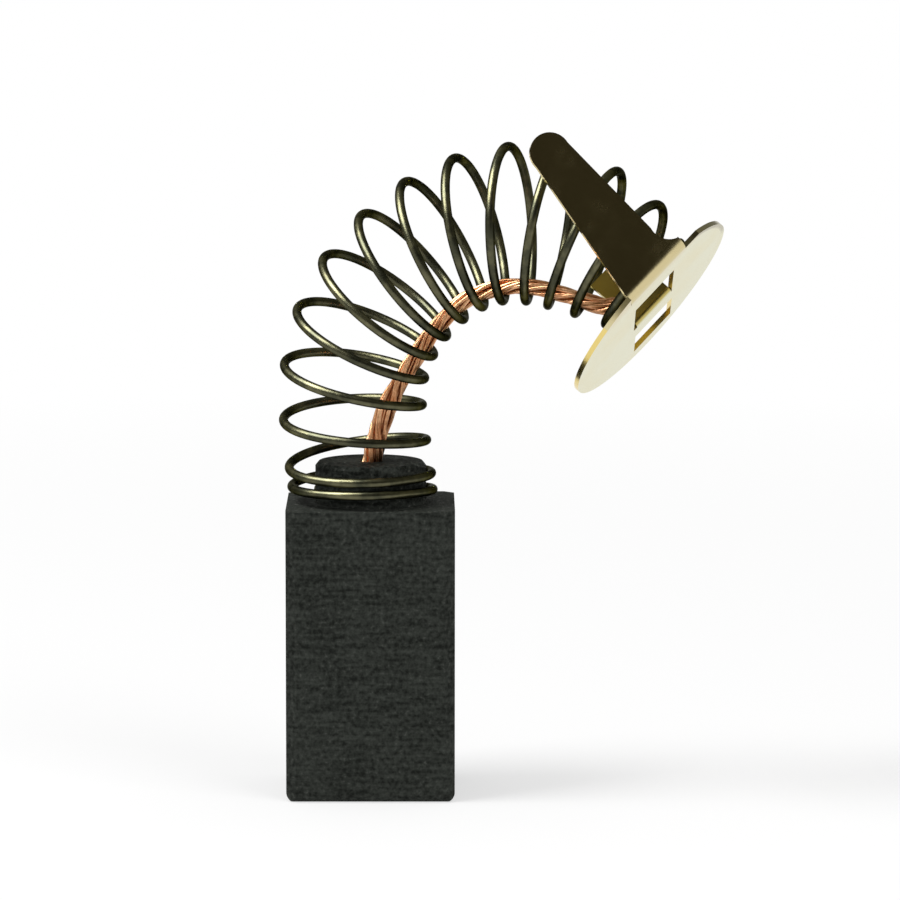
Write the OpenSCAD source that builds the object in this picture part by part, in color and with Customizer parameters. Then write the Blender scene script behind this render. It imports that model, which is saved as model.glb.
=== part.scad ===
// Carbon brush: a carbon block with a round boss, a spring standing round the boss,
// a copper shunt inside the spring and a folded brass cap at the spring's far end.
// Millimetres, +Z up. The origin is the centre of the wear face, which stands on the floor.

/* [Carbon block] */
// width of the block, along X
block_x = 10; // [9.4:0.1:10.6]
// thickness of the block, along Y
block_y = 9; // [8.4:0.1:9.6]
// height of the block from the wear face to its shoulder
block_z = 17.4; // [17.2:0.1:17.4]
// flat on the four upright edges
edge_flat = 0.6; // [0.3:0.1:1]
// rounding of the edges of the wear face
wear_round = 0.5; // [0.3:0.1:0.8]
// diameter of the boss the spring stands round
boss_d = 6.6; // [6.2:0.1:6.7]
// height of the boss above the shoulder
boss_h = 2.45; // [2:0.05:2.6]
// diameter of the blind hole for the shunt
hole_d = 1.3; // [1.25:0.05:1.8]

/* [Spring] */
// diameter of the spring wire
wire_d = 0.55; // [0.4:0.05:0.55]

/* [Shunt] */
// diameter of the stranded copper shunt
shunt_d = 1; // [0.8:0.05:1]

/* [Terminal cap] */
// thickness of the brass sheet
sheet = 0.3; // [0.2:0.05:0.3]
// diameter of the disc
disc_d = 12.9; // [12.4:0.1:13.6]
// length of the tongue beyond its fold
tongue_l = 9.9; // [8:0.1:12]
// width of the tongue at its root
tongue_w = 3.9; // [3.4:0.1:4.2]
// radius of the tongue's rounded tip
tip_r = 1.2; // [1:0.1:1.4]
// outer radius of the fold between the disc and the tongue
bend_r = 0.8; // [0.5:0.05:0.9]
// outer radius of the tab's fold
fold_r = 0.35; // [0.35:0.05:0.5]
// width of the tab folded in from the first window
tab_w = 3; // [2:0.1:3]
// length of the tab, from the disc's outer face
tab_l = 3.7; // [3:0.1:3.9]

/* [Hidden] */
$fn = 48;

// Guide points of the spring: x, y, z of the coil's centre line, turns wound, coil radius,
// and how far the coils lean towards the inside of the bend and towards the front.
SPRING = [
  [-0.5, -0.5, 15.5, -7.9, 4.2, 0.02, 0],
  [-0.35, 0.1, 17.76, 0.95, 4.2, 0.07, 0],
  [-0.85, -0.2, 20.8, 1.9, 4.2, 0.1, 0],
  [-1.3, -0.3, 24.7, 3.4, 4.15, 0.1, -0.02],
  [-0.1, -0.7, 28.8, 5.1, 4.3, 0.02, 0.02],
  [2.8, -1.2, 32.1, 6.9, 4.3, 0.08, 0.01],
  [6.4, -1.8, 34.2, 8.7, 4.4, 0.08, 0.01],
  [10.6, -2.5, 34.4, 10.5, 4.7, -0.04, -0.01],
  [13.8, -2.9, 32.9, 11.9, 4.3, -0.1, 0.02],
  [16.7, -3.9, 30.8, 13.4, 3.3, -0.01, 0.02],
  [19.4, -4.7, 28.5, 15, 2.9, 0.1, 0.02]
];
spring_rings = 276;

// Guide points of the shunt, from the floor of the blind hole to the tab of the cap.
SHUNT = [
  [0.5, -0.1, 11.6],
  [-0.1, 0, 15.1],
  [-0.2, 0, 18.4],
  [0.3, -0.1, 21.2],
  [1.2, -0.3, 23.8],
  [2.7, -0.7, 26.2],
  [4.3, -1.2, 28.6],
  [6.4, -1.9, 30.3],
  [9, -2.4, 30.7],
  [11.5, -2.6, 30.1],
  [13.5, -2.7, 29.3],
  [15.2, -2.7, 29.3],
  [16.9, -2.6, 30.1]
];
shunt_rings = 60;
hole_floor = 15;

// Place of the cap: centre of the disc's outer face, its bend from upright, yaw and roll.
cap_at = [16.54, -2.68, 29.21];
cap_bend = 127.7;
cap_yaw = -21;
cap_roll = -121;

// Distances in the cap's own frame: +X runs to the tongue, +Z out of the disc.
tongue_x = 5.9;
tongue_splay = 12;
root_out = 0.8;
step_in = 0.03;
fillet_r = 1.2;
tip_y = -1.15;
tab_x = -0.4;
tab_y = -0.3;
window_1 = [[tab_x - fold_r, 3.1], [-1.85, 1.5]];
window_2 = [[-5.2, -2.3], [-1.95, 1.3]];

function unit(v) = v / norm(v);

// Uniform cubic B-spline: the point and the slope at u, from 0 to 1 along the guide points.
function seg(g, u) = min(floor(u * (len(g) - 3)), len(g) - 4);
function spline(g, u) = let (i = seg(g, u), f = u * (len(g) - 3) - i)
  (pow(1 - f, 3) * g[i] + (3 * pow(f, 3) - 6 * f * f + 4) * g[i + 1]
  + (-3 * pow(f, 3) + 3 * f * f + 3 * f + 1) * g[i + 2] + pow(f, 3) * g[i + 3]) / 6;
function slope(g, u) = let (i = seg(g, u), f = u * (len(g) - 3) - i)
  (-pow(1 - f, 2) * g[i] + (3 * f * f - 4 * f) * g[i + 1]
  + (-3 * f * f + 2 * f + 1) * g[i + 2] + f * f * g[i + 3]) / 2;
function xyz(v) = [v[0], v[1], v[2]];

// The part of -Y that is square to a direction, at unit length.
function front_of(t) = unit([0, -1, 0] - ([0, -1, 0] * t) * t);

// Middle of the spring wire at u: the coil goes round the centre line by its turns.
function wire_point(u) = let (
    c = spline(SPRING, u),
    t = unit(xyz(slope(SPRING, u))),
    lean = unit(t + c[5] * cross(t, front_of(t)) + c[6] * front_of(t)),
    front = front_of(lean),
    side = cross(lean, front)
  ) xyz(c) + c[4] * (cos(360 * c[3]) * side + sin(360 * c[3]) * front);
function wire_turns(u) = spline(SPRING, u)[3];

// The value of u at which a share s of the turns has been wound, found by halving.
function at_turn(n, lo, hi, k) = k == 0 ? (lo + hi) / 2
  : wire_turns((lo + hi) / 2) < n ? at_turn(n, (lo + hi) / 2, hi, k - 1)
  : at_turn(n, lo, (lo + hi) / 2, k - 1);

// One closed tube of eight sides round a list of middles.
module tube(path, d) {
  n = len(path);
  sides = 8;
  rings = [for (i = [0 : n - 1])
    let (
      t = unit(path[min(i + 1, n - 1)] - path[max(i - 1, 0)]),
      a = unit([0, -1, 0.001] - ([0, -1, 0.001] * t) * t),
      b = cross(t, a)
    )
    for (k = [0 : sides - 1])
      path[i] + d / 2 * (cos(360 * k / sides) * a + sin(360 * k / sides) * b)];
  walls = [for (i = [0 : n - 2]) for (k = [0 : sides - 1])
    let (p = i * sides + k, q = i * sides + (k + 1) % sides)
    each [[p, q + sides, q], [p, p + sides, q + sides]]];
  first = [for (k = [0 : sides - 1]) k];
  last = [for (k = [sides - 1 : -1 : 0]) (n - 1) * sides + k];
  polyhedron(rings, concat([first, last], walls), convexity = 12);
}

// Upright outline of the block with its two lower corners rounded.
module wear_profile(w) {
  translate([-w / 2, wear_round]) square([w, block_z - wear_round]);
  translate([-w / 2 + wear_round, 0]) square([w - 2 * wear_round, wear_round + 0.1]);
  for (s = [-1, 1]) translate([s * (w / 2 - wear_round), wear_round]) circle(r = wear_round);
}

module block_body() {
  x = block_x / 2;
  y = block_y / 2;
  e = edge_flat;
  intersection() {
    linear_extrude(block_z) polygon([
      [-x + e, -y], [x - e, -y], [x, -y + e], [x, y - e],
      [x - e, y], [-x + e, y], [-x, y - e], [-x, -y + e]
    ]);
    translate([0, y + 1, 0]) rotate([90, 0, 0]) linear_extrude(block_y + 2) wear_profile(block_x);
    translate([-x - 1, 0, 0]) rotate([90, 0, 90]) linear_extrude(block_x + 2) wear_profile(block_y);
  }
}

// Pressed carbon: the block, the boss with its softened rim, and the blind hole.
module carbon_block() {
  color("#2b2c2a") difference() {
    union() {
      block_body();
      translate([0, 0, block_z - 1]) cylinder(d = boss_d, h = boss_h + 0.75);
      translate([0, 0, block_z + boss_h - 0.25]) cylinder(d1 = boss_d, d2 = boss_d - 0.4, h = 0.25);
    }
    translate([0, 0, hole_floor]) cylinder(d = hole_d, h = block_z + boss_h);
  }
}

module spring() {
  first = wire_turns(0);
  last = wire_turns(1);
  color("#8d8872") tube([for (i = [0 : spring_rings])
    wire_point(at_turn(first + (last - first) * i / spring_rings, 0, 1, 22))], wire_d);
}

module shunt() {
  color("#c87533") tube([for (i = [0 : shunt_rings]) spline(SHUNT, i / shunt_rings)], shunt_d);
}

// Flat outline of the tongue: root at the origin, tip along +X, narrowing to a round tip.
// Its -Y side runs out into the disc's rim with a fillet.
module tongue_outline(l) {
  w = tongue_w / 2;
  x = l - tip_r;
  difference() {
    union() {
      polygon([[0, w - step_in], [x, tip_y + tip_r], [x, tip_y - tip_r + step_in], [0, -w]]);
      translate([x, tip_y]) circle(r = tip_r);
      translate([0, -w - root_out]) square([fillet_r - 0.1, root_out + 0.1]);
    }
    translate([fillet_r - 0.1, -w - fillet_r]) circle(r = fillet_r);
  }
}

// A fold in the sheet from y0 to y1: starts on the flat sheet at x = 0 and turns inwards.
module fold(y0, y1, r, angle) {
  translate([0, y1, -r]) rotate([90, 0, 0])
    rotate([0, 0, 90 - angle]) rotate_extrude(angle = angle)
      translate([r - sheet, 0]) square([sheet, y1 - y0]);
}

module window(span) {
  translate([span[0][0], span[1][0], -1])
    cube([span[0][1] - span[0][0], span[1][1] - span[1][0], 2]);
}

// The disc is cut straight where the tongue bends down, and stays round beside it.
module cap_disc() {
  difference() {
    intersection() {
      translate([0, 0, -sheet]) cylinder(d = disc_d, h = sheet, $fn = 96);
      union() {
        translate([-disc_d, -disc_d, -1]) cube([disc_d + tongue_x - bend_r, 2 * disc_d, 2]);
        translate([0, tongue_w / 2 + 0.05, -1]) cube([disc_d, disc_d, 2]);
      }
    }
    window(window_1);
    window(window_2);
  }
}

// The tongue with its fold, splayed a little out from square.
module cap_tongue() {
  angle = 90 - tongue_splay;
  translate([tongue_x - bend_r, 0, 0]) {
    fold(-tongue_w / 2 - root_out, tongue_w / 2, bend_r, angle);
    translate([0, 0, -bend_r]) rotate([0, angle, 0])
      translate([-0.001, 0, bend_r - sheet]) linear_extrude(sheet) tongue_outline(tongue_l);
  }
}

// The tab cut out of the first window and folded inwards at the window's far edge.
module cap_tab() {
  translate([tab_x - fold_r, tab_y, 0]) {
    fold(-tab_w / 2, tab_w / 2, fold_r, 90);
    translate([fold_r - sheet, -tab_w / 2, -tab_l]) cube([sheet, tab_w, tab_l - fold_r + 0.001]);
  }
}

// Folded brass sheet: the disc with two windows, the long tongue and the inward tab.
module terminal_cap() {
  color("#e3c98a") translate(cap_at) rotate([0, cap_bend, cap_yaw]) rotate([0, 0, cap_roll]) {
    cap_disc();
    cap_tongue();
    cap_tab();
  }
}

carbon_block();
spring();
shunt();
terminal_cap();
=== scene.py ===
"""Looks of a carbon brush: block, coil spring, copper shunt and folded brass cap."""
import logging
import math
import random
from dataclasses import dataclass, field
from enum import Enum
from typing import Sequence

import bpy
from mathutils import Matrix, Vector


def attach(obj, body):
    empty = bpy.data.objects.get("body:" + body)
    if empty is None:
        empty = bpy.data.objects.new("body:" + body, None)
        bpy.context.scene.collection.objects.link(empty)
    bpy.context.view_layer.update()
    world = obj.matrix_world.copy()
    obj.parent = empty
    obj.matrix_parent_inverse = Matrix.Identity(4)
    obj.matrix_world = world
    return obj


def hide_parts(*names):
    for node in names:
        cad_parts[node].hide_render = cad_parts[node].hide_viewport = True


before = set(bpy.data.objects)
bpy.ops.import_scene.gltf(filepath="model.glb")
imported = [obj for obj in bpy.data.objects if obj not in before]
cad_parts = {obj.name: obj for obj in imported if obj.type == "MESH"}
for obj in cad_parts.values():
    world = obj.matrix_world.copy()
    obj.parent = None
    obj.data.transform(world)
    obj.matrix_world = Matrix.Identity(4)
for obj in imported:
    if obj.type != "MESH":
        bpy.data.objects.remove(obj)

LOG = logging.getLogger("carbon_brush")
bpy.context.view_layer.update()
MM = 0.001
Point = tuple[float, float, float]

# The guide points of the CAD source, in metres: x, y, z of the coil's centre line, turns wound,
# coil radius, and the lean of the coils towards the inside of the bend and towards the front.
SPRING_GUIDE: list[tuple[float, ...]] = [
    (-0.0005, -0.0005, 0.0155, -7.9, 0.0042, 0.02, 0),
    (-0.00035, 0.0001, 0.01776, 0.95, 0.0042, 0.07, 0),
    (-0.00085, -0.0002, 0.0208, 1.9, 0.0042, 0.1, 0),
    (-0.0013, -0.0003, 0.0247, 3.4, 0.00415, 0.1, -0.02),
    (-0.0001, -0.0007, 0.0288, 5.1, 0.0043, 0.02, 0.02),
    (0.0028, -0.0012, 0.0321, 6.9, 0.0043, 0.08, 0.01),
    (0.0064, -0.0018, 0.0342, 8.7, 0.0044, 0.08, 0.01),
    (0.0106, -0.0025, 0.0344, 10.5, 0.0047, -0.04, -0.01),
    (0.0138, -0.0029, 0.0329, 11.9, 0.0043, -0.1, 0.02),
    (0.0167, -0.0039, 0.0308, 13.4, 0.0033, -0.01, 0.02),
    (0.0194, -0.0047, 0.0285, 15, 0.0029, 0.1, 0.02),
]
SHUNT_GUIDE: list[Point] = [
    (0.0005, -0.0001, 0.0116),
    (-0.0001, 0, 0.0151),
    (-0.0002, 0, 0.0184),
    (0.0003, -0.0001, 0.0212),
    (0.0012, -0.0003, 0.0238),
    (0.0027, -0.0007, 0.0262),
    (0.0043, -0.0012, 0.0286),
    (0.0064, -0.0019, 0.0303),
    (0.009, -0.0024, 0.0307),
    (0.0115, -0.0026, 0.0301),
    (0.0135, -0.0027, 0.0293),
    (0.0152, -0.0027, 0.0293),
    (0.0169, -0.0026, 0.0301),
]


class Slot(Enum):
    """The record's material slots."""

    CARBON = "carbon"
    SPRING = "spring_steel"
    COPPER = "copper"
    BRASS = "brass"


# ---------------------------------------------------------------- shader maths


class Sock:
    """A shader socket, or a plain number, that Python operators work on."""

    def __init__(self, tree: "Nodes", source: object) -> None:
        """Wrap a source.

        Args:
            tree: the material that the nodes are added to.
            source: an output socket or a number.
        """
        self.tree = tree
        self.source = source

    def math(self, operation: str, other: object, swap: bool = False) -> "Sock":
        """Add a Math node for one operation and return its output."""
        a, b = (other, self) if swap else (self, other)
        return self.tree.node("ShaderNodeMath", {"operation": operation}, {0: a, 1: b})

    def __add__(self, other: object) -> "Sock":
        """Sum."""
        return self.math("ADD", other)

    __radd__ = __add__

    def __mul__(self, other: object) -> "Sock":
        """Product."""
        return self.math("MULTIPLY", other)

    __rmul__ = __mul__

    def __sub__(self, other: object) -> "Sock":
        """Difference."""
        return self.math("SUBTRACT", other)

    def __rsub__(self, other: object) -> "Sock":
        """Difference from a number."""
        return self.math("SUBTRACT", other, swap=True)

    def __pow__(self, other: object) -> "Sock":
        """Power."""
        return self.math("POWER", other)

    def __abs__(self) -> "Sock":
        """Size without sign."""
        return self.math("ABSOLUTE", 0.0)

    def clamp(self) -> "Sock":
        """Keep between 0 and 1."""
        return self.tree.node(
            "ShaderNodeMath", {"operation": "ADD", "use_clamp": True}, {0: self, 1: 0.0}
        )


class Nodes:
    """A shader node tree under construction."""

    def __init__(self, tree: bpy.types.ShaderNodeTree) -> None:
        """Take the tree that nodes are added to."""
        self.nodes = tree.nodes
        self.links = tree.links

    def node(
        self,
        kind: str,
        settings: dict[str, object] | None = None,
        values: dict[object, object] | None = None,
        output: object = 0,
    ) -> Sock:
        """Add a node.

        Args:
            kind: the node's type.
            settings: properties, which are set first.
            values: what goes to each input socket, a value or a link.
            output: the name or index of the output to return.

        Returns:
            The output socket.
        """
        made = self.nodes.new(kind)
        for key, value in (settings or {}).items():
            setattr(made, key, value)
        for key, value in (values or {}).items():
            self.feed(made.inputs[key], value)
        return Sock(self, made.outputs[output])

    def feed(self, socket: bpy.types.NodeSocket, value: object) -> None:
        """Set a socket to a value, or link an output to it."""
        if isinstance(value, Sock):
            value = value.source
        if isinstance(value, bpy.types.NodeSocket):
            self.links.new(value, socket)
        elif isinstance(value, (tuple, list)) and len(value) == 3 and socket.type == "RGBA":
            socket.default_value = (*value, 1.0)
        else:
            socket.default_value = value

    def seen(self) -> Sock:
        """1 for rays that show a surface: straight to the camera, in gloss or through glass."""
        kinds = ("Is Camera Ray", "Is Glossy Ray", "Is Transmission Ray")
        camera, glossy, through = (self.node("ShaderNodeLightPath", output=kind) for kind in kinds)
        return (camera + glossy + through).clamp()

    def place(self) -> Sock:
        """Object coordinates, in metres."""
        return self.node("ShaderNodeTexCoord", output="Object")

    def along(self, where: Sock, direction: Point) -> Sock:
        """How far a place or a normal reaches along a direction."""
        return self.node(
            "ShaderNodeVectorMath", {"operation": "DOT_PRODUCT"}, {0: where, 1: direction}, "Value"
        )

    def stretched(self, scale: Point, turn: Point = (0, 0, 0)) -> Sock:
        """Object coordinates, turned and scaled."""
        return self.node(
            "ShaderNodeMapping", None, {"Vector": self.place(), "Scale": scale, "Rotation": turn}
        )

    def noise(self, where: Sock, size: float, detail: float = 3.0, rough: float = 0.55) -> Sock:
        """Noise from 0 to 1 with blotches of about a size in metres."""
        return self.node(
            "ShaderNodeTexNoise",
            None,
            {"Vector": where, "Scale": 1.0 / size, "Detail": detail, "Roughness": rough},
        )

    def rise(self, value: Sock, start: float, gain: float) -> Sock:
        """0 up to a start, then rising by a gain for each unit, up to 1."""
        return ((value - start) * gain).clamp()

    def fall(self, value: Sock, end: float, gain: float) -> Sock:
        """0 from an end on, and rising by a gain for each unit before it, up to 1."""
        return ((end - value) * gain).clamp()

    def blend(self, factor: object, first: object, second: object) -> Sock:
        """A mix of two colours."""
        return self.node(
            "ShaderNodeMix",
            {"data_type": "RGBA"},
            {0: factor, 6: first, 7: second},
            output=2,
        )

    def bump(self, height: Sock, depth: float) -> Sock:
        """A bump of a depth in metres."""
        return self.node(
            "ShaderNodeBump", None, {"Height": height, "Distance": depth, "Strength": 1.0}
        )


class Shader(Nodes):
    """One material under construction, with a Principled shader at its end."""

    def __init__(self, name: str) -> None:
        """Start an empty material.

        Args:
            name: the material's name.
        """
        self.material = bpy.data.materials.new(name)
        self.material.use_nodes = True
        super().__init__(self.material.node_tree)
        self.shader = self.nodes["Principled BSDF"]

    def finish(self, **sockets: object) -> bpy.types.Material:
        """Feed the shader's sockets, whose names have underscores for spaces."""
        for key, value in sockets.items():
            self.feed(self.shader.inputs[key.replace("_", " ")], value)
        return self.material


# ---------------------------------------------------------------- finishes


@dataclass(frozen=True)
class CarbonFinish:
    """Pressed carbon-graphite: nearly black, matt and mottled, rougher at the boss end, with
    painted light on the top strip under the spring.
    """

    dark: Point = (0.0094, 0.0108, 0.009)
    light: Point = (0.038, 0.042, 0.0365)
    grain: Point = (0.13, 0.132, 0.12)
    line_size: float = 0.4 * MM
    line_shape: Point = (0.2, 0.2, 1.6)
    mottle_size: float = 0.28 * MM
    cloud_size: float = 3.0 * MM
    shoulder: float = 17.3 * MM
    ledge_top: float = 17.6 * MM
    sharpness: float = 5000.0
    contrast: float = 4.2
    contrast_gain: float = 3.0
    # Painted light on the top strip under the spring: how far its tone is lifted, and the extra
    # lighter grains it gets.
    ledge_painted_light: float = 1.2
    ledge_grain_and_light: float = 0.14
    grain_limit: float = 0.64
    relief: float = 0.06 * MM
    shine: float = 0.08

    def make(self) -> bpy.types.Material:
        """Build the material."""
        s = Shader("pressed_carbon")
        where = s.place()
        lines = s.noise(s.stretched(self.line_shape), self.line_size, 2.0, 0.5)
        mottle = s.noise(where, self.mottle_size, 2.0, 0.6)
        cloud = s.noise(where, self.cloud_size, 2.0)
        height = s.along(where, (0.0, 0.0, 1.0))
        rough_end = s.rise(height, self.shoulder, self.sharpness)
        ledge = rough_end * s.fall(height, self.ledge_top, self.sharpness)
        mix = mottle * 0.55 + lines * 0.33 + cloud * 0.12
        spread = self.contrast + rough_end * self.contrast_gain
        # Painted light: the strip under the spring is lifted in tone against the spring's shadow,
        # and gets more lighter grains.
        tone = ((mix - 0.5) * spread + ledge * self.ledge_painted_light + 0.5).clamp()
        grains = s.rise(mottle + ledge * self.ledge_grain_and_light, self.grain_limit, 8.0)
        grains = grains * (0.2 + rough_end * 0.7)
        base = s.blend(tone, self.dark, self.light)
        return s.finish(
            Base_Color=s.blend(grains, base, self.grain),
            Roughness=(0.72 + cloud * 0.2 - grains * 0.15).clamp(),
            Normal=s.bump(mottle * (0.6 + rough_end) + lines * 0.3, self.relief),
            Specular_IOR_Level=self.shine,
        )


@dataclass(frozen=True)
class SpringFinish:
    """Hard-drawn spring wire with a thin dark olive scale, rubbed paler here and there."""

    rubbed: Point = (0.17, 0.16, 0.09)
    scale: Point = (0.055, 0.056, 0.036)
    skim: Point = (0.20, 0.20, 0.15)
    cloud_size: float = 1.6 * MM
    fine_size: float = 0.5 * MM
    relief: float = 0.0008 * MM

    def make(self) -> bpy.types.Material:
        """Build the material."""
        s = Shader("drawn_spring_wire")
        where = s.place()
        cloud = s.noise(where, self.cloud_size, 3.0)
        fine = s.noise(where, self.fine_size, 3.0, 0.6)
        tone = s.rise(cloud * 0.7 + fine * 0.3, 0.42, 3.6)
        return s.finish(
            Base_Color=s.blend(tone, self.scale, self.rubbed),
            Roughness=(0.31 + fine * 0.08).clamp(),
            Normal=s.bump(fine, self.relief),
            Metallic=1.0,
            Specular_Tint=self.skim,
        )


@dataclass(frozen=True)
class CopperFinish:
    """Bare copper strands, bright with brown, slightly oxidised blotches."""

    bright: Point = (0.85, 0.50, 0.28)
    brown: Point = (0.50, 0.21, 0.09)
    cloud_size: float = 0.9 * MM
    fine_size: float = 0.1 * MM
    relief: float = 0.008 * MM

    def make(self) -> bpy.types.Material:
        """Build the material."""
        s = Shader("copper_strand")
        where = s.place()
        cloud = s.noise(where, self.cloud_size, 3.0)
        fine = s.noise(where, self.fine_size, 3.0, 0.6)
        tone = s.rise(cloud * 0.6 + fine * 0.4, 0.40, 4.4)
        return s.finish(
            Base_Color=s.blend(tone, self.brown, self.bright),
            Roughness=(0.26 + fine * 0.22).clamp(),
            Normal=s.bump(fine, self.relief),
            Metallic=1.0,
        )


@dataclass(frozen=True)
class BrassFinish:
    """Rolled brass sheet: pale and bright outside, golden where it was sheared, with painted shade
    on the fold and tongue, along the rim and in the window.

    Its masks are measured from the disc's middle: depth outwards through the disc, reach
    towards the tongue and across to the side.
    """

    bright: Point = (0.70, 0.68, 0.46)
    warm: Point = (0.72, 0.66, 0.39)
    sheared: Point = (0.80, 0.63, 0.22)
    # Painted shade: a darker, warmer copy of the brass for the fold and tongue.
    bend_shade: Point = (0.66, 0.56, 0.31)
    # Painted shade: darker gold for the tab and the walls of its window.
    window_shade: Point = (0.52, 0.41, 0.12)
    # Dark brown for the random spots, and painted shade along the rim.
    tarnish_and_rim_shade: Point = (0.20, 0.155, 0.07)
    disc_at: Point = (0.01654, -0.00268, 0.02921)
    disc_normal: Point = (0.7387, -0.2835, -0.6115)
    tongue_normal: Point = (0.141, -0.952, 0.271)
    to_tongue: Point = (-0.013, -0.913, 0.407)
    to_side: Point = (0.674, 0.293, 0.678)
    line_size: float = 0.2 * MM
    line_shape: Point = (1.0, 0.12, 1.0)
    line_turn: Point = (0.0, 0.0, 0.35)
    cloud_size: float = 3.4 * MM
    fine_size: float = 0.5 * MM
    spot_size: float = 1.1 * MM
    smudge_size: float = 1.7 * MM
    fold_from: float = 4.3 * MM
    tongue_from: float = 4.8 * MM
    window_from: float = -0.76 * MM
    window_to: float = 3.1 * MM
    window_half: float = 1.95 * MM
    skin: float = 0.02 * MM
    sharpness: float = 20000.0
    rim_from: float = 6.1 * MM
    rim_to: float = 5.6 * MM
    relief: float = 0.001 * MM

    def cut_edges(self, s: Shader, reach: Sock) -> Sock:
        """1 on faces that look along neither the disc's normal nor the tongue's."""
        facing = s.node("ShaderNodeTexCoord", output="Normal")
        disc = abs(s.along(facing, self.disc_normal))
        tongue = abs(s.along(facing, self.tongue_normal)) * s.rise(reach, self.tongue_from, 4000.0)
        return s.fall(disc.math("MAXIMUM", tongue), 0.75, 8.0)

    def behind_window(self, s: Shader, depth: Sock, reach: Sock, across: Sock) -> Sock:
        """1 on the tab and on the walls of the window that it was cut from, where shade is
        painted.
        """
        return (
            s.fall(depth, -self.skin, self.sharpness)
            * s.fall(reach, self.window_to, self.sharpness)
            * s.rise(reach, self.window_from, self.sharpness)
            * s.fall(abs(across), self.window_half, self.sharpness)
        )

    def painted_rim_shade(self, s: Shader, reach: Sock, across: Sock) -> Sock:
        """1 along the disc's rim between the tongue and the side, where shade is painted."""
        from_middle = (reach * reach + across * across) ** 0.5
        return (
            s.rise(from_middle, self.rim_from, 6000.0)
            * s.rise(reach, 0.0, 1000.0)
            * s.rise(across, 0.0, 1000.0)
            * s.fall(reach, self.rim_to, 2000.0)
        )

    def make(self) -> bpy.types.Material:
        """Build the material."""
        s = Shader("rolled_brass")
        where = s.place()
        lines = s.noise(s.stretched(self.line_shape, self.line_turn), self.line_size, 3.0, 0.6)
        cloud = s.noise(where, self.cloud_size, 3.0)
        fine = s.noise(where, self.fine_size, 3.0, 0.6)
        spots = s.rise(s.noise(where, self.spot_size, 2.0), 0.70, 8.0)
        smudge = s.rise(s.noise(where, self.smudge_size, 3.0), 0.52, 5.0)
        depth, reach, across = (
            s.along(where, direction) - Vector(self.disc_at).dot(Vector(direction))
            for direction in (self.disc_normal, self.to_tongue, self.to_side)
        )
        bend = s.rise(reach, self.fold_from, 800.0)
        rim = self.painted_rim_shade(s, reach, across)
        inside = self.behind_window(s, depth, reach, across)
        colour = s.blend(s.rise(cloud, 0.40, 2.6), self.bright, self.warm)
        # Painted shade on the fold and tongue.
        colour = s.blend(bend, colour, self.bend_shade)
        # Painted shade along the disc's rim, varied in strength by the smudge noise.
        colour = s.blend(rim * (0.6 + smudge * 0.4), colour, self.tarnish_and_rim_shade)
        colour = s.blend(self.cut_edges(s, reach) * (1 - rim), colour, self.sheared)
        # Painted shade in the window and on the tab behind it.
        colour = s.blend(inside * (0.75 + cloud * 0.4), colour, self.window_shade)
        rough = 0.13 + lines * 0.08 + cloud * 0.08
        return s.finish(
            Base_Color=s.blend(spots * 0.3, colour, self.tarnish_and_rim_shade),
            Roughness=(rough + bend * (0.01 + smudge * 0.06) + inside * 0.1).clamp(),
            Normal=s.bump(lines + fine * 0.5, self.relief),
            Metallic=1.0,
        )


# ---------------------------------------------------------------- guide curves


def spline(guide: Sequence[Sequence[float]], u: float) -> list[float]:
    """Uniform cubic B-spline.

    Args:
        guide: the guide points.
        u: how far along, from 0 to 1.

    Returns:
        The point at u.
    """
    spans = len(guide) - 3
    i = min(int(u * spans), spans - 1)
    f = u * spans - i
    weights = (
        (1 - f) ** 3 / 6,
        (3 * f**3 - 6 * f * f + 4) / 6,
        (-3 * f**3 + 3 * f * f + 3 * f + 1) / 6,
        f**3 / 6,
    )
    return [sum(w * p[k] for w, p in zip(weights, guide[i : i + 4])) for k in range(len(guide[0]))]


def slope(guide: Sequence[Sequence[float]], u: float) -> Vector:
    """Direction of the B-spline's first three columns at u, at unit length."""
    step = 1e-4
    a = spline(guide, max(u - step, 0.0))
    b = spline(guide, min(u + step, 1.0))
    return (Vector(b[:3]) - Vector(a[:3])).normalized()


def front_of(direction: Vector) -> Vector:
    """The part of -Y that is square to a direction, at unit length."""
    front = Vector((0, -1, 0))
    return (front - front.dot(direction) * direction).normalized()


def mesh_object(name: str, mesh: bpy.types.Mesh) -> bpy.types.Object:
    """Put a mesh in the scene as an object at the origin."""
    made = bpy.data.objects.new(name, mesh)
    bpy.context.scene.collection.objects.link(made)
    return made


def curve_mesh(name: str, points: Sequence[Vector]) -> bpy.types.Object:
    """A mesh of points joined in a line, for Geometry Nodes to work on."""
    mesh = bpy.data.meshes.new(name)
    mesh.from_pydata([tuple(p) for p in points], [(i, i + 1) for i in range(len(points) - 1)], [])
    return mesh_object(name, mesh)


# ---------------------------------------------------------------- geometry nodes


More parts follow.
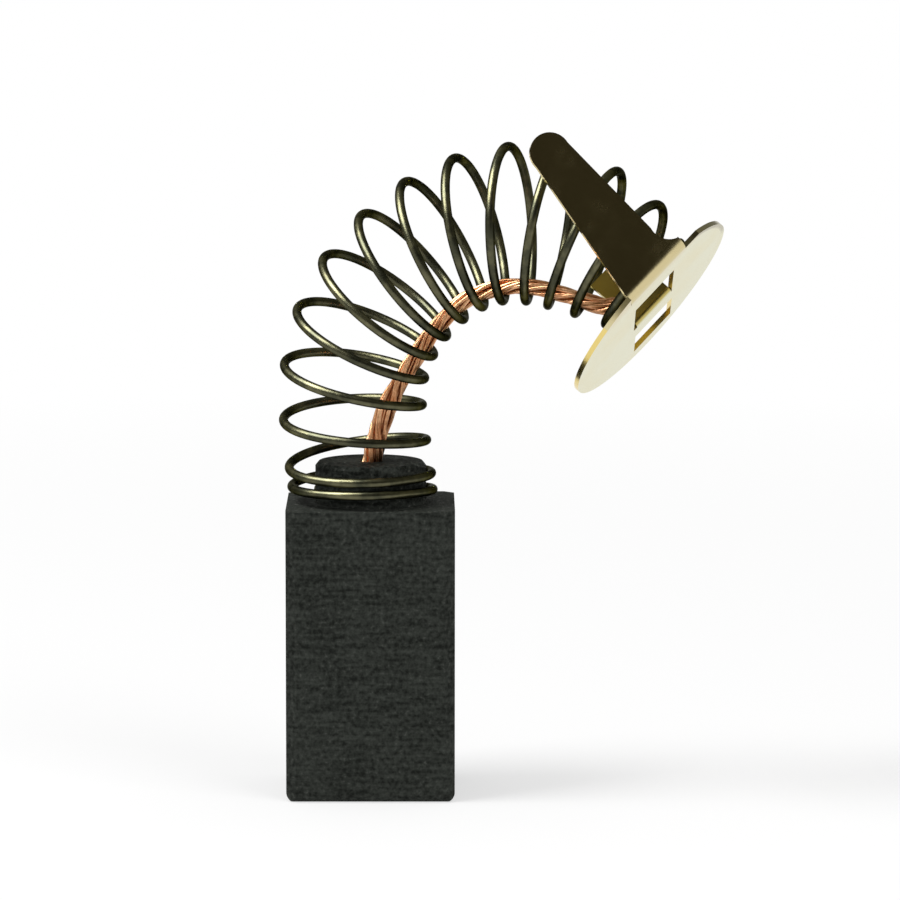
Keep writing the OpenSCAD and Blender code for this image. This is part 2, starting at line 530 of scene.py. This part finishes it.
class Tree:
    """A Geometry Nodes tree with named inputs."""

    def __init__(self, name: str) -> None:
        """Start an empty tree with a geometry in and out.

        Args:
            name: the tree's name.
        """
        self.group = bpy.data.node_groups.new(name, "GeometryNodeTree")
        for way in ("INPUT", "OUTPUT"):
            self.group.interface.new_socket(
                "Geometry", in_out=way, socket_type="NodeSocketGeometry"
            )
        self.start = self.group.nodes.new("NodeGroupInput")
        self.end = self.group.nodes.new("NodeGroupOutput")
        self.identifiers: dict[str, str] = {}

    def input(self, name: str, kind: str = "NodeSocketFloat") -> bpy.types.NodeSocket:
        """Add a named input and return its socket inside the tree."""
        item = self.group.interface.new_socket(name, in_out="INPUT", socket_type=kind)
        self.identifiers[name] = item.identifier
        return self.start.outputs[name]

    def node(self, kind: str, values: dict[str, object]) -> bpy.types.Node:
        """Add a node with its input values or links."""
        made = self.group.nodes.new(kind)
        for key, value in values.items():
            if isinstance(value, bpy.types.NodeSocket):
                self.group.links.new(value, made.inputs[key])
            else:
                made.inputs[key].default_value = value
        return made

    def apply(
        self, piece: bpy.types.Object, material: bpy.types.Material, values: dict[str, object]
    ) -> bpy.types.Object:
        """Run the tree on a piece and keep the result as a plain mesh.

        Args:
            piece: the object that carries the path.
            material: the material that the tree sets.
            values: the value of each named input.

        Returns:
            The piece, with its final mesh and no modifier.
        """
        modifier = piece.modifiers.new("build", "NODES")
        modifier.node_group = self.group
        for name, value in {**values, "Material": material}.items():
            modifier[self.identifiers[name]] = value
        graph = bpy.context.evaluated_depsgraph_get()
        mesh = bpy.data.meshes.new_from_object(piece.evaluated_get(graph))
        piece.modifiers.clear()
        old, piece.data = piece.data, mesh
        mesh.name = piece.name
        bpy.data.meshes.remove(old)
        return piece


def wire_tree(name: str) -> Tree:
    """A tree that sweeps a round wire along the piece's line."""
    tree = Tree(name)
    radius = tree.input("Radius")
    sides = tree.input("Sides", "NodeSocketInt")
    material = tree.input("Material", "NodeSocketMaterial")
    line = tree.start.outputs["Geometry"]
    path = tree.node("GeometryNodeMeshToCurve", {"Mesh": line})
    ring = tree.node("GeometryNodeCurvePrimitiveCircle", {"Resolution": sides, "Radius": radius})
    swept = tree.node(
        "GeometryNodeCurveToMesh",
        {"Curve": path.outputs[0], "Profile Curve": ring.outputs[0], "Fill Caps": True},
    )
    smooth = tree.node(
        "GeometryNodeSetShadeSmooth", {"Geometry": swept.outputs[0], "Shade Smooth": True}
    )
    real = tree.node("GeometryNodeRealizeInstances", {"Geometry": smooth.outputs[0]})
    painted = tree.node(
        "GeometryNodeSetMaterial", {"Geometry": real.outputs[0], "Material": material}
    )
    tree.group.links.new(painted.outputs[0], tree.end.inputs[0])
    return tree


# ---------------------------------------------------------------- sub-assemblies


@dataclass
class CarbonBlock:
    """The pressed block, boss and all, in its CAD shape."""

    finish: CarbonFinish = field(default_factory=CarbonFinish)

    def dress(self) -> None:
        """Give the CAD solid its finish."""
        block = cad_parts["carbon_block"]
        for slot in block.material_slots:
            slot.material = self.finish.make()
        LOG.info("carbon_block: %d faces", len(block.data.polygons))


@dataclass
class CoilSpring:
    """The bent coil of round wire."""

    wire: float = 0.55 * MM
    sides: int = 20
    steps: int = 1500
    samples: int = 4000
    finish: SpringFinish = field(default_factory=SpringFinish)

    def wire_point(self, u: float) -> Vector:
        """Middle of the wire at u."""
        x, y, z, turns, radius, inward, forward = spline(SPRING_GUIDE, u)
        along = slope(SPRING_GUIDE, u)
        front = front_of(along)
        lean = (along + inward * along.cross(front) + forward * front).normalized()
        front = front_of(lean)
        angle = math.tau * turns
        reach = math.cos(angle) * lean.cross(front) + math.sin(angle) * front
        return Vector((x, y, z)) + radius * reach

    def path(self) -> list[Vector]:
        """The wire's middle line, at even steps of turn."""
        shares = [i / self.samples for i in range(self.samples + 1)]
        turns = [spline(SPRING_GUIDE, u)[3] for u in shares]
        points, k = [], 0
        for i in range(self.steps + 1):
            turn = turns[0] + (turns[-1] - turns[0]) * i / self.steps
            while k < self.samples - 1 and turns[k + 1] < turn:
                k += 1
            part = (turn - turns[k]) / (turns[k + 1] - turns[k])
            part = min(max(part, 0.0), 1.0)
            points.append(self.wire_point(shares[k] + part * (shares[k + 1] - shares[k])))
        return points

    def build(self) -> bpy.types.Object:
        """Make the wire and let it stand for the CAD spring."""
        piece = curve_mesh("spring_wire", self.path())
        wire_tree("spring_wire").apply(
            piece, self.finish.make(), {"Radius": self.wire / 2, "Sides": self.sides}
        )
        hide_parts("spring")
        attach(piece, "root")
        LOG.info("spring_wire: %d faces", len(piece.data.polygons))
        return piece


@dataclass(frozen=True)
class Bulge:
    """A stretch where the cord's strands lie looser: its middle, its length and its gain."""

    at: float
    spread: float
    gain: float


@dataclass
class Shunt:
    """The flexible cord: fine copper strands laid in two rings round a middle one."""

    diameter: float = 1.0 * MM
    strand: float = 0.24 * MM
    strand_sides: int = 8
    rings: tuple[int, ...] = (1, 5, 10)
    ring_offset: float = 0.13
    lay: float = 11.0 * MM
    bulges: tuple[Bulge, ...] = (Bulge(0.2, 0.13, 0.28), Bulge(0.97, 0.07, 0.2))
    wander: float = 0.035 * MM
    turn_wander: float = 0.03
    ring_wander: float = 0.05
    waves: int = 6
    wave_count: tuple[float, float] = (1.5, 7.0)
    steps: int = 300
    seed: int = 7
    finish: CopperFinish = field(default_factory=CopperFinish)

    def girth(self, u: float) -> float:
        """How wide the cord is at u, next to its plain width."""
        return sum(
            (b.gain * math.exp(-(((u - b.at) / b.spread) ** 2)) for b in self.bulges), 1.0
        )

    def strand_points(
        self, centres: Sequence[Vector], ring: int, share: float, rng: random.Random
    ) -> list[Vector]:
        """The middle line of one strand.

        Args:
            centres: the middle line of the cord.
            ring: which ring the strand lies in, from the middle.
            share: the strand's place round its ring, from 0 to 1.
            rng: the source of each strand's small wander.

        Returns:
            One point for each centre.
        """
        reach = (self.diameter - self.strand) / 2 * ring / (len(self.rings) - 1)
        length = sum((b - a).length for a, b in zip(centres, centres[1:]))
        waves = [
            (rng.uniform(*self.wave_count), rng.uniform(0.0, math.tau)) for _ in range(self.waves)
        ]
        points = []
        for i, centre in enumerate(centres):
            u = i / self.steps
            along = slope(SHUNT_GUIDE, u)
            front = front_of(along)
            side = along.cross(front)
            sway = [math.sin(math.tau * n * u + p) for n, p in waves]
            turn = share + length * u / self.lay + self.turn_wander * (sway[0] + sway[1])
            angle = math.tau * turn
            radius = reach * (1.0 + self.ring_wander * sway[2]) * self.girth(u)
            off = radius * (math.cos(angle) * side + math.sin(angle) * front)
            points.append(centre + off + self.wander * (sway[3] * side + sway[4] * front))
        return points

    def build(self) -> bpy.types.Object:
        """Make the strands and let them stand for the CAD cord."""
        rng = random.Random(self.seed)
        centres = [Vector(spline(SHUNT_GUIDE, i / self.steps)) for i in range(self.steps + 1)]
        points, edges = [], []
        for ring, count in enumerate(self.rings):
            for n in range(count):
                base = len(points)
                share = n / count + self.ring_offset * ring
                points += self.strand_points(centres, ring, share, rng)
                edges += [(base + i, base + i + 1) for i in range(self.steps)]
        mesh = bpy.data.meshes.new("shunt_strands")
        mesh.from_pydata([tuple(p) for p in points], edges, [])
        piece = mesh_object("shunt_strands", mesh)
        wire_tree("shunt_strands").apply(
            piece, self.finish.make(), {"Radius": self.strand / 2, "Sides": self.strand_sides}
        )
        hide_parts("shunt")
        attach(piece, "root")
        LOG.info("shunt_strands: %d faces", len(piece.data.polygons))
        return piece


@dataclass
class TerminalCap:
    """The folded brass sheet, in its CAD shape."""

    finish: BrassFinish = field(default_factory=BrassFinish)

    def dress(self) -> None:
        """Give the CAD solid its finish."""
        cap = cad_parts["terminal_cap"]
        for slot in cap.material_slots:
            slot.material = self.finish.make()
        LOG.info("terminal_cap: %d faces", len(cap.data.polygons))


# ---------------------------------------------------------------- studio


@dataclass(frozen=True)
class Lamp:
    """A square lamp that looks at the brush.

    Attributes:
        place: where it hangs, in metres.
        size: its side, in metres.
        power: in watts.
        in_gloss: whether shiny surfaces mirror it.
        on_matt: whether it lights matt surfaces.
        only: the pieces that it lights, or none for all.
    """

    name: str
    place: Point
    size: float
    power: float
    in_gloss: bool = True
    on_matt: bool = True
    only: tuple[str, ...] = ()

    def hang(self, aim: Point) -> None:
        """Put the lamp in the scene, looking at a point."""
        light = bpy.data.lights.new(self.name, "AREA")
        light.size = self.size
        light.energy = self.power
        made = bpy.data.objects.new(self.name, light)
        bpy.context.scene.collection.objects.link(made)
        made.location = self.place
        away = Vector(aim) - Vector(self.place)
        made.rotation_euler = away.to_track_quat("-Z", "Y").to_euler()
        made.visible_glossy = self.in_gloss
        made.visible_diffuse = self.on_matt
        if self.only:
            lit = bpy.data.collections.new(self.name)
            for piece in self.only:
                lit.objects.link(bpy.data.objects[piece])
            made.light_linking.receiver_collection = lit


@dataclass
class Studio:
    """Floor, soft light, a graded screen for the metal to mirror, and the camera."""

    lens: float = 199.6
    sensor: float = 36.0
    place: Point = (0.00264, -0.2949, 0.0588)
    pitch: float = 82.6
    shift: float = 0.0389
    aim: Point = (0.005, 0.0, 0.022)
    lamps: tuple[Lamp, ...] = (
        Lamp("key", (-0.26, -0.09, 0.43), 0.22, 1.5, in_gloss=False),
        Lamp("fill", (0.3, -0.3, 0.25), 0.3, 0.7, in_gloss=False),
        Lamp(
            "sparkle",
            (-0.27, -0.1, 0.44),
            0.4,
            9.0,
            on_matt=False,
            only=("spring_wire", "shunt_strands"),
        ),
    )
    daylight: float = 0.48
    floor_half: float = 2.0
    paper: Point = (0.96, 0.96, 0.96)
    near: float = 0.04
    fade: float = 0.16
    white_near: float = 0.55
    screen_radius: float = 0.62
    screen_columns: int = 24
    screen_rows: int = 10
    darkest_at: Point = (0.27, -0.87, 0.40)
    darkest: Point = (0.03, 0.027, 0.018)
    dim: Point = (0.27, 0.27, 0.23)
    lightest_at: Point = (0.0, 0.98, -0.2)
    lightest: Point = (1.0, 1.0, 1.0)

    def floor(self) -> None:
        """A pale floor that fades to plain white away from the brush."""
        size = self.floor_half
        corners = [(-size, -size, 0), (size, -size, 0), (size, size, 0), (-size, size, 0)]
        mesh = bpy.data.meshes.new("floor")
        mesh.from_pydata(corners, [], [(0, 1, 2, 3)])
        floor = mesh_object("floor", mesh)
        s = Shader("floor")
        s.finish(Base_Color=self.paper, Roughness=0.9, Specular_IOR_Level=0.0)
        away = s.node("ShaderNodeVectorMath", {"operation": "LENGTH"}, {0: s.place()}, "Value")
        white = s.node("ShaderNodeEmission", None, {"Color": (1, 1, 1), "Strength": 1.0})
        share = s.rise(away, self.near, 1.0 / self.fade) * (1.0 - self.white_near)
        share = (share + self.white_near) * s.seen()
        shown = s.node(
            "ShaderNodeMixShader", None, {0: share, 1: s.shader.outputs[0], 2: white}
        )
        s.feed(s.nodes["Material Output"].inputs["Surface"], shown)
        mesh.materials.append(s.material)

    def world(self) -> None:
        """Soft light from all round, and white where it is seen."""
        world = bpy.data.worlds.new("studio")
        bpy.context.scene.world = world
        world.use_nodes = True
        s = Nodes(world.node_tree)
        background = s.nodes["Background"]
        background.inputs["Color"].default_value = (1, 1, 1, 1)
        s.feed(background.inputs["Strength"], self.daylight + s.seen() * (1.0 - self.daylight))

    def dome(self) -> bpy.types.Mesh:
        """Half a sphere over the brush, made of rows of four-sided faces."""
        points, faces = [], []
        for row in range(self.screen_rows + 1):
            lift = math.radians(90 * row / self.screen_rows)
            flat = self.screen_radius * math.cos(lift)
            high = self.screen_radius * math.sin(lift)
            for column in range(self.screen_columns + 1):
                turn = math.tau * column / self.screen_columns
                points.append((flat * math.sin(turn), -flat * math.cos(turn), high))
        for row in range(self.screen_rows):
            for column in range(self.screen_columns):
                low = row * (self.screen_columns + 1) + column
                above = low + self.screen_columns + 1
                faces.append((low, low + 1, above + 1, above))
        mesh = bpy.data.meshes.new("screen")
        mesh.from_pydata(points, [], faces)
        return mesh

    def screen(self) -> None:
        """A graded dome that only gloss shows: dim, darkest in front and white low behind."""
        card = mesh_object("screen", self.dome())
        s = Shader("screen")
        unit = 1.0 / self.screen_radius
        front = s.along(s.place(), self.darkest_at) * unit
        behind = s.along(s.place(), self.lightest_at) * unit
        tone = s.blend(s.fall(front, 0.94, 3.5), self.darkest, self.dim)
        tone = s.blend(s.rise(behind, 0.78, 7.0), tone, self.lightest)
        glow = s.node("ShaderNodeEmission", None, {"Color": tone, "Strength": 1.0})
        s.feed(s.nodes["Material Output"].inputs["Surface"], glow)
        card.data.materials.append(s.material)
        card.visible_camera = False
        card.visible_diffuse = False
        card.visible_shadow = False

    def camera(self) -> None:
        """The camera in front of the brush, a little above it."""
        data = bpy.data.cameras.new("camera")
        data.lens = self.lens
        data.sensor_width = self.sensor
        data.shift_x = self.shift
        data.clip_start = 0.01
        made = bpy.data.objects.new("camera", data)
        bpy.context.scene.collection.objects.link(made)
        made.location = self.place
        made.rotation_euler = (math.radians(self.pitch), 0, 0)
        bpy.context.scene.camera = made

    def build(self) -> None:
        """Set up the studio."""
        self.floor()
        self.world()
        self.screen()
        for lamp in self.lamps:
            lamp.hang(self.aim)
        self.camera()
        bpy.context.scene.view_settings.view_transform = "Standard"
        LOG.info("studio: %d lamps", len(self.lamps))


def main() -> None:
    """Build every piece."""
    logging.basicConfig(level=logging.INFO, format="%(name)s: %(message)s")
    CarbonBlock().dress()
    CoilSpring().build()
    Shunt().build()
    TerminalCap().dress()
    Studio().build()


if __name__ == "__main__":
    main()
